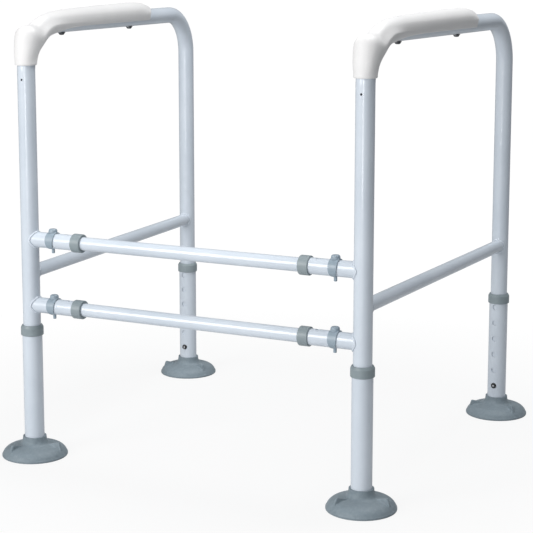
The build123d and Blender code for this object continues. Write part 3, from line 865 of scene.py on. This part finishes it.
# ------------------------------------------------------------------ snap clips
def clip_mesh(name, side, row):
    """Snap clip: C ring open at the bottom, boss over the hole, pin through both tubes. Made from rounded solids joined by a fine remesh."""
    node = f"snap_clip_{row}_{side}"
    lo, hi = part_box(node)
    cx, cy = (lo.x + hi.x) / 2, BAR_Y
    zc = STUB_Z[row] * MM
    hz = (hi.z - zc) / MM
    lz = (zc - lo.z) / MM
    r_in, r_out = STUB_R + 0.35, STUB_R + 1.75
    wid = (hi.x - lo.x) / MM / 2
    bld = Build()
    # C ring: a rounded strip swept round the tube, wide over the top and narrowing to rounded arm ends
    n = 96
    a0 = radians(148)
    for_grid = []
    for i in range(n + 1):
        th = -a0 + 2 * a0 * i / n          # 0 is the top
        back = abs(th) / a0
        hw = wid * (1.0 if back < 0.45 else 1.0 - 0.42 * ((back - 0.45) / 0.55) ** 1.6)
        end = min(1.0, (1 - back) * a0 * r_out / 3.4)
        hw *= sqrt(max(0.0, 1 - (1 - end) ** 2)) * 0.96 + 0.04
        ro = r_out - 0.12 * (1 - end)
        sec = rounded([(-hw, r_in), (hw, r_in), (hw, ro), (-hw, ro)], [0.25, 0.25, 0.5, 0.5], 3)
        for_grid.append([(x, r * sin(th), r * cos(th)) for x, r in sec])
    p = np.array(for_grid)
    idx = bld.grid(in_axes((cx, cy, zc), (1, 0, 0), (0, 1, 0), (0, 0, 1), p), wrap=True)
    bld.face(list(idx[0]))
    bld.face(list(idx[-1])[::-1])
    v, f, m = bld.out()
    # boss and pin
    boss = rounded([(0, r_in + 0.3), (wid - 0.35, r_in + 0.3), (wid - 0.3, r_out + 1.1), (5.9, hz - 1.6), (4.5, hz - 0.35), (0, hz)], [0, 0, 0.5, 0.9, 1.2, 0], 6)
    lathe(bld, (cx, cy, zc), (0, 0, 1), (1, 0, 0), boss, n=72, closed=False)
    pin = rounded([(0, r_in + 0.7), (2.3, r_in + 0.7), (2.3, -lz), (1.1, -lz), (1.1, -lz + 4.0), (0, -lz + 4.0)], [0, 0, 0.45, 0.3, 0, 0], 4)
    lathe(bld, (cx, cy, zc), (0, 0, 1), (1, 0, 0), pin, n=48, closed=False)
    v, f, m = bld.out()
    o = finish_mesh(name, v, f, f"clip_{row}_{side}", [node], mats=[MAT["clip_plastic"]], weighted=False, sharp=180)
    rm = o.modifiers.new("join", "REMESH")
    rm.mode = "VOXEL"
    rm.voxel_size = 0.00022
    rm.use_smooth_shade = True
    sm = o.modifiers.new("smooth", "SMOOTH")
    sm.factor = 0.5
    sm.iterations = 4
    bpy.context.view_layer.update()
    dg = bpy.context.evaluated_depsgraph_get()
    me = bpy.data.meshes.new_from_object(o.evaluated_get(dg))
    o.modifiers.clear()
    o.data = me
    me.name = name
    dec = o.modifiers.new("even", "DECIMATE")
    dec.ratio = 0.5
    dg = bpy.context.evaluated_depsgraph_get()
    me2 = bpy.data.meshes.new_from_object(o.evaluated_get(dg))
    o.modifiers.clear()
    o.data = me2
    me2.name = name + "_m"
    me2.polygons.foreach_set("use_smooth", np.ones(len(me2.polygons), bool))
    return o


for side in SIDES:
    for row in ROWS:
        clip_mesh(f"snap_clip_{row}_{side}_moulding", side, row)


# ------------------------------------------------------------------ armrests
def spline(xs, ys, q):
    """Monotone-ish cubic through points (Fritsch-Carlson)."""
    xs, ys, q = np.asarray(xs, float), np.asarray(ys, float), np.asarray(q, float)
    h = np.diff(xs)
    dl = np.diff(ys) / h
    m = np.zeros(len(xs))
    m[1:-1] = np.where(dl[:-1] * dl[1:] > 0, 2 * dl[:-1] * dl[1:] / (dl[:-1] + dl[1:] + 1e-12), 0)
    m[0], m[-1] = dl[0], dl[-1]
    i = np.clip(np.searchsorted(xs, q) - 1, 0, len(xs) - 2)
    t = (q - xs[i]) / h[i]
    return ((2 * t ** 3 - 3 * t ** 2 + 1) * ys[i] + (t ** 3 - 2 * t ** 2 + t) * h[i] * m[i]
            + (-2 * t ** 3 + 3 * t ** 2) * ys[i + 1] + (t ** 3 - t ** 2) * h[i] * m[i + 1])


PHI = np.radians([0, 14, 27, 40, 52, 64, 77, 90, 108, 125, 145, 165, 180])
# radius from the tube's axis at those angles from the crest, at the sleeve, in the bend and along the rail
R_SLEEVE = [15.5, 15.8, 16.5, 17.0, 17.0, 16.5, 15.8, 15.5, 15.3, 15.1, 14.9, 14.8, 14.8]
R_RING = [15.3, 15.3, 15.4, 15.5, 15.5, 15.4, 15.2, 15.0, 14.9, 14.8, 14.7, 14.6, 14.6]
R_BEND = [25.0, 24.8, 23.8, 22.4, 20.8, 19.4, 18.6, 18.4, 18.4, 18.2, 17.4, 16.6, 16.2]
R_RAIL = [24.6, 24.7, 24.6, 24.0, 22.9, 21.0, 18.9, 17.2, 15.8, 15.0, 14.6, 14.4, 14.4]


def smooth01(x):
    x = min(1.0, max(0.0, x))
    return x * x * (3 - 2 * x)


def through(points, per=16):
    """Dense points of a centripetal Catmull-Rom curve through the given ones."""
    ext = np.vstack([2 * points[0] - points[1], points, 2 * points[-1] - points[-2]])
    dense = []
    for i in range(1, len(ext) - 2):
        p0, p1, p2, p3 = ext[i - 1:i + 3]
        t0 = 0
        t1 = t0 + np.linalg.norm(p1 - p0) ** 0.5
        t2 = t1 + np.linalg.norm(p2 - p1) ** 0.5
        t3 = t2 + np.linalg.norm(p3 - p2) ** 0.5
        for t in np.linspace(t1, t2, per, endpoint=False):
            A1 = (t1 - t) / (t1 - t0) * p0 + (t - t0) / (t1 - t0) * p1
            A2 = (t2 - t) / (t2 - t1) * p1 + (t - t1) / (t2 - t1) * p2
            A3 = (t3 - t) / (t3 - t2) * p2 + (t - t2) / (t3 - t2) * p3
            B1 = (t2 - t) / (t2 - t0) * A1 + (t - t0) / (t2 - t0) * A2
            B2 = (t3 - t) / (t3 - t1) * A2 + (t - t1) / (t3 - t1) * A3
            dense.append((t2 - t) / (t2 - t1) * B1 + (t - t1) / (t2 - t1) * B2)
    dense.append(points[-1])
    return np.array(dense)


def make_arm(name, side):
    node = f"armrest_{side}"
    lo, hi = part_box(node)
    z_start, z_top = lo.z / MM, hi.z / MM
    # outer edge in the side view, from the sleeve's lower front corner over its flat cap and up the arm's crest
    dense = through(np.array([
        (-15.6, z_start), (-15.4, z_start + 3), (-14.9, 581.0), (-13.8, 592.0), (-12.2, 603.0), (-10.4, 611.0), (-7.4, 618.0), (-2.6, 622.6), (3.5, 624.4),
        (11.0, 624.8), (17.5, 625.6), (24.0, 628.2), (33.0, 632.4), (45.0, 636.4), (60.0, 639.4), (85.0, 642.2), (138.0, 644.4), (210.0, 646.2), (300.0, z_top - 0.1)]))
    start_l = 300.0
    th_lo = asin((z_start - (RAIL - BEND)) / BEND)
    planes = []                        # centre on the tube's line, direction of the crest, crest distance, share of the bend covered
    n_fan = 64
    for i in range(n_fan + 1):
        q = i / n_fan
        th = th_lo + (pi / 2 - th_lo) * q
        centre = np.array([BEND - BEND * cos(th), RAIL - BEND + BEND * sin(th)])
        level = max(0.0, 1 - q / 0.45) ** 1.2
        nrm = np.array([-cos(th), sin(th)]) * (1 - level) + np.array([-1.0, 0.0]) * level
        nrm /= np.linalg.norm(nrm)
        d = dense - centre
        reach = d @ nrm
        off = d @ np.array([-nrm[1], nrm[0]])
        crest = None
        ok = np.where(reach > 5)[0]
        for a, b in zip(ok[:-1], ok[1:]):
            if b == a + 1 and off[a] * off[b] <= 0:
                w = off[a] / (off[a] - off[b] + 1e-12)
                crest = reach[a] * (1 - w) + reach[b] * w
                break
        if crest is None:
            crest = reach[ok[np.argmin(np.abs(off[ok]))]]
        planes.append((centre, nrm, crest, q))
    for L in np.linspace(BEND, start_l, 44)[1:]:
        planes.append((np.array([L, RAIL]), np.array([0.0, 1.0]), float(np.interp(L, dense[:, 0], dense[:, 1])) - RAIL, 1.0 + (L - BEND) / 60.0))

    def wrap(L, q):
        """How far round the tube the cover reaches, in degrees from the crest."""
        if q <= 0.62:
            return 180.0
        if L < BEND + 1e-6:
            return 180.0 - 36.0 * ((q - 0.62) / 0.38) ** 1.2
        return float(np.interp(L, [BEND, 72, 84, 100, 118, 138, 170], [144.0, 137.0, 128.0, 119.0, 112.5, 109.0, 107.5]))

    def radii(q, crest, phis):
        a = np.abs(phis)
        ring, sleeve, bend, rail = (spline(PHI, r, a) for r in (R_RING, R_SLEEVE, R_BEND, R_RAIL))
        k0, k1, k2 = smooth01(q / 0.24), smooth01((q - 0.12) / 0.42), smooth01((q - 0.55) / 1.0)
        base = ((ring * (1 - k0) + sleeve * k0) * (1 - k1) + bend * k1) * (1 - k2) + rail * k2
        top = ((R_RING[0] * (1 - k0) + R_SLEEVE[0] * k0) * (1 - k1) + R_BEND[0] * k1) * (1 - k2) + R_RAIL[0] * k2
        fade = np.clip(np.cos(np.clip(a / radians(88), 0, 1) * pi / 2), 0, 1) ** 0.9
        return base + (crest - top) * fade

    m = 48
    inner_r = TUBE_R + 0.35
    out_rows, in_rows, wraps = [], [], []

    def shares(W):
        """Column angles, closer together towards the lower edges."""
        x = np.linspace(-1, 1, 2 * m + 1)
        return W * np.sign(x) * (1 - (1 - np.abs(x)) ** 1.18)

    def round_edge(W, phis, rr, rnd=1.3):
        cut = np.clip((rnd - (W - np.abs(phis)) * rr) / rnd, 0, 1)
        return rr - rnd * (1 - np.sqrt(np.clip(1 - cut ** 2, 0, 1)))

    def lip_gap(W, phis):
        """Share of the relief cut inside the lower edges, so that the lip stands clear of the tube."""
        return np.clip(1 - (W - np.abs(phis)) * TUBE_R / 3.2, 0, 1) ** 1.5

    for centre, nrm, crest, q in planes:
        W = radians(wrap(centre[0], q))
        phis = shares(W)
        rr = radii(q, crest, phis)
        low = (centre[1] - z_start)
        if low < 6:
            rr = rr + 0.35 * max(0.0, 1 - low / 6.0) ** 2 - 0.9 * (1 - sqrt(max(0.0, 1 - (1 - min(1.0, low / 0.9)) ** 2)))
        if W < pi - 1e-6:
            blend = smooth01((pi - W) / 0.25)
            rr = rr * (1 - blend) + round_edge(W, phis, rr) * blend
        h, nn = np.sin(phis) * rr, np.cos(phis) * rr
        out_rows.append(np.stack([centre[0] + nrm[0] * nn, h, centre[1] + nrm[1] * nn], 1))
        th = atan2(centre[1] - (RAIL - BEND), BEND - centre[0]) if centre[0] < BEND - 1e-9 else pi / 2
        c = float(nrm @ np.array([-cos(th), sin(th)]))
        ri = inner_r + 0.85 * lip_gap(W, phis) * smooth01((pi - W) / 0.3) + 0.7 * max(0.0, 1 - low / 2.5)
        nn = np.cos(phis) * ri / max(c, 0.5)
        in_rows.append(np.stack([centre[0] + nrm[0] * nn, np.sin(phis) * ri, centre[1] + nrm[1] * nn], 1))
        wraps.append(W)
    # rear end: the crest closes down on to the tube in a rounded nose, the flanks end sooner and more squarely
    last = wraps[-1]
    phis = shares(last)
    ang = np.abs(phis)
    flat = out_rows[-1]
    rr0 = np.sqrt(flat[:, 1] ** 2 + (flat[:, 2] - RAIL) ** 2)
    L_end = 347.0 + 22.5 * np.clip(np.cos(np.clip(ang / radians(74), 0, 1) * pi / 2), 0, 1) ** 1.1
    flank = np.clip((ang - radians(40)) / radians(38), 0, 1)
    flank = flank * flank * (3 - 2 * flank)
    r_end = TUBE_R + 0.9 + 1.1 * flank
    steps = 34
    for i in range(1, steps + 1):
        tau = 1 - (1 - i / steps) ** 1.5
        L = start_l + (L_end - start_l) * tau
        D = (1 - tau ** 2.5) ** 0.90
        Df = (1 - tau ** 10.0) ** 0.5
        r = r_end + (rr0 - r_end) * (D * (1 - flank) + Df * flank)
        out_rows.append(np.stack([L, np.sin(phis) * r, RAIL + np.cos(phis) * r], 1))
        ri = inner_r + 0.85 * lip_gap(last, phis)
        in_rows.append(np.stack([L, np.sin(phis) * ri, RAIL + np.cos(phis) * ri], 1))
        wraps.append(last)
    out_rows, in_rows = np.array(out_rows), np.array(in_rows)
    bld = Build()
    bld.grid(in_side(side, out_rows))
    bld.grid(in_side(side, in_rows))
    first_open = next(i for i, W in enumerate(wraps) if W < pi - 1e-6)
    for col in (0, -1):
        a, b = out_rows[first_open - 1:, col], in_rows[first_open - 1:, col]
        bld.grid(in_side(side, np.stack([a, a * 0.5 + b * 0.5, b], 1)))
    bld.grid(in_side(side, np.stack([out_rows[-1], in_rows[-1]], 0)))
    o0, i0 = out_rows[0], in_rows[0]
    bld.grid(in_side(side, np.stack([o0, o0 * 0.6 + i0 * 0.4, i0], 0)))
    v, f, mm = bld.out()
    return finish_mesh(name, v, f, f"{side}_frame", [node], sharp=50, mats=[MAT["armrest_cover"]], weighted=False)


for side in SIDES:
    make_arm(f"armrest_{side}_cover", side)
    repaint(f"armrest_screws_{side}", MAT["screw_zinc"])


# ------------------------------------------------------------------ stage, light, camera
def paper(name):
    """Pale matte floor near the object that fades to an even white sweep further out."""
    m = bpy.data.materials.new(name)
    nt, b, co = nodes_of(m)
    n = noise(nt, co, 3.0, 3.0)
    nt.links.new(mix(nt, maprange(nt, n, 0.3, 0.7, 0, 1), (0.54, 0.545, 0.55), (0.52, 0.525, 0.53)), b.inputs["Base Color"])
    b.inputs["Roughness"].default_value = 0.8
    b.inputs["Specular IOR Level"].default_value = 0.2
    glow = nt.nodes.new("ShaderNodeEmission")
    glow.inputs[0].default_value = (1, 1, 1, 1)
    glow.inputs[1].default_value = 1.02
    length = nt.nodes.new("ShaderNodeVectorMath")
    length.operation = "LENGTH"
    nt.links.new(co, length.inputs[0])
    path = nt.nodes.new("ShaderNodeLightPath")
    far = maprange(nt, length.outputs["Value"], 0.40, 0.95, 0.86, 1.0)
    blend = nt.nodes.new("ShaderNodeMixShader")
    nt.links.new(math2(nt, "MULTIPLY", far, path.outputs["Is Camera Ray"]), blend.inputs[0])
    nt.links.new(b.outputs[0], blend.inputs[1])
    nt.links.new(glow.outputs[0], blend.inputs[2])
    out = next(x for x in nt.nodes if x.type == "OUTPUT_MATERIAL")
    nt.links.new(blend.outputs[0], out.inputs[0])
    return m


bpy.ops.mesh.primitive_plane_add(size=40, location=(0, 0, -0.0002))
floor = bpy.context.object
floor.name = "floor"
floor.data.materials.append(paper("floor_pale"))
floor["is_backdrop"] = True

scene = bpy.context.scene
scene.view_settings.view_transform = "Standard"
scene.view_settings.look = "None"
world = bpy.data.worlds.new("studio")
scene.world = world
world.use_nodes = True
wn = world.node_tree
wn.nodes.clear()
wout = wn.nodes.new("ShaderNodeOutputWorld")
dim, white, pick, path = (wn.nodes.new(k) for k in ("ShaderNodeBackground", "ShaderNodeBackground", "ShaderNodeMixShader", "ShaderNodeLightPath"))
dim.inputs[0].default_value = (0.93, 0.965, 1.0, 1)
dim.inputs[1].default_value = 0.26
white.inputs[0].default_value = (1, 1, 1, 1)
white.inputs[1].default_value = 1.02
wn.links.new(path.outputs["Is Camera Ray"], pick.inputs[0])
wn.links.new(dim.outputs[0], pick.inputs[1])
wn.links.new(white.outputs[0], pick.inputs[2])
wn.links.new(pick.outputs[0], wout.inputs[0])


def area(name, loc, target, size, power, colour=(1, 1, 1), size_y=None):
    li = bpy.data.lights.new(name, "AREA")
    li.energy = power
    li.color = colour
    li.shape = "RECTANGLE"
    li.size = size
    li.size_y = size_y or size
    o = bpy.data.objects.new(name, li)
    scene.collection.objects.link(o)
    o.location = loc
    o.rotation_mode = "QUATERNION"
    o.rotation_quaternion = (Vector(target) - Vector(loc)).to_track_quat("-Z", "Y")
    return o


area("key", (-1.0, -2.1, 1.15), (0.0, -0.2, 0.40), 0.9, 33, (1.0, 0.99, 0.98), 1.3)
area("front", (0.25, -2.7, 0.55), (0, 0, 0.35), 0.45, 19, (0.98, 0.99, 1.0), 1.4)
area("top", (0.35, 0.2, 2.3), (0, 0, 0.55), 1.1, 36, (0.99, 0.995, 1.0))

cam = bpy.data.cameras.new("camera")
cam_o = bpy.data.objects.new("camera", cam)
scene.collection.objects.link(cam_o)
scene.camera = cam_o
AZ, EL = radians(26.302), radians(9.135)
back = Vector((sin(AZ) * cos(EL), -cos(AZ) * cos(EL), sin(EL)))
cam_o.location = (1.028001, -2.097594, 0.727323)
cam_o.rotation_mode = "QUATERNION"
cam_o.rotation_quaternion = (-back).to_track_quat("-Z", "Y")
cam.sensor_width = 36.0
cam.lens = 1578.973 * 36.0 / 533
cam.shift_x = (266.5 - 263.966) / 533
cam.shift_y = (205.0 - 266.5) / 533
cam.clip_start, cam.clip_end = 0.05, 60

lo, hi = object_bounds()
